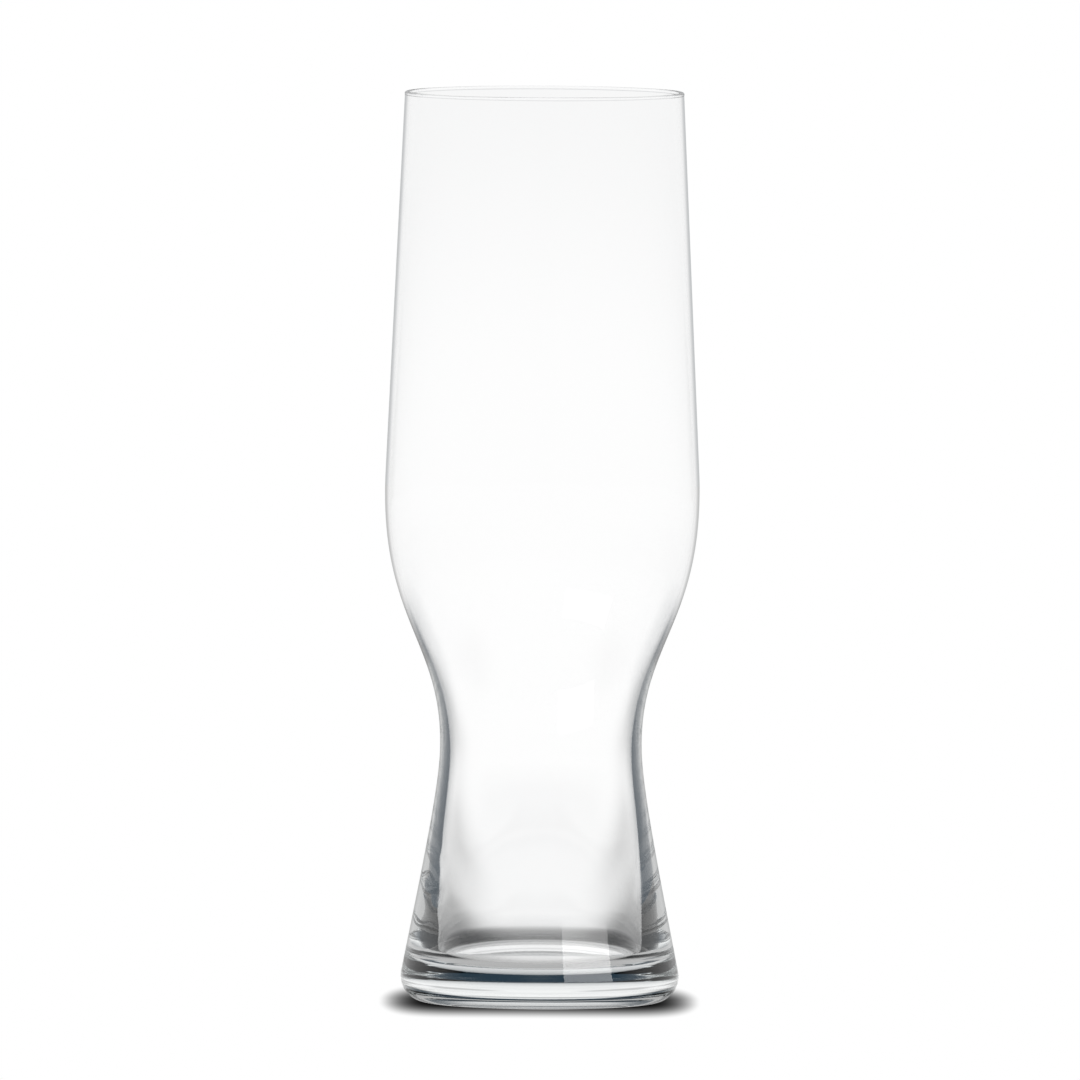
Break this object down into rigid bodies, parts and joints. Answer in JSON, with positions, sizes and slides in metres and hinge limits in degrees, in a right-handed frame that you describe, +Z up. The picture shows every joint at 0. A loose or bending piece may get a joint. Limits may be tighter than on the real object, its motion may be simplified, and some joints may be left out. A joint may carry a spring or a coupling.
{
  "type": "weizen glass",
  "caption": "Tall clear wheat beer glass with a thin tapering bowl, a narrow waist, a flared thick-walled foot and a heavy solid base that stands on a flat ring.",
  "frame": {"origin": "on the table, in the middle of the bearing ring", "axes": "+Z up along the axis of the glass, X and Y free because the glass is round"},
  "size_m": [0.0794, 0.0794, 0.23],
  "materials": {
    "clear_glass": "fire polished clear soda-lime glass, smooth inside and out"
  },
  "bodies": {
    "root": {"rim": "clear_glass", "bowl": "clear_glass", "shoulder": "clear_glass", "waist": "clear_glass", "foot": "clear_glass", "base": "clear_glass"}
  },
  "joints": []
}
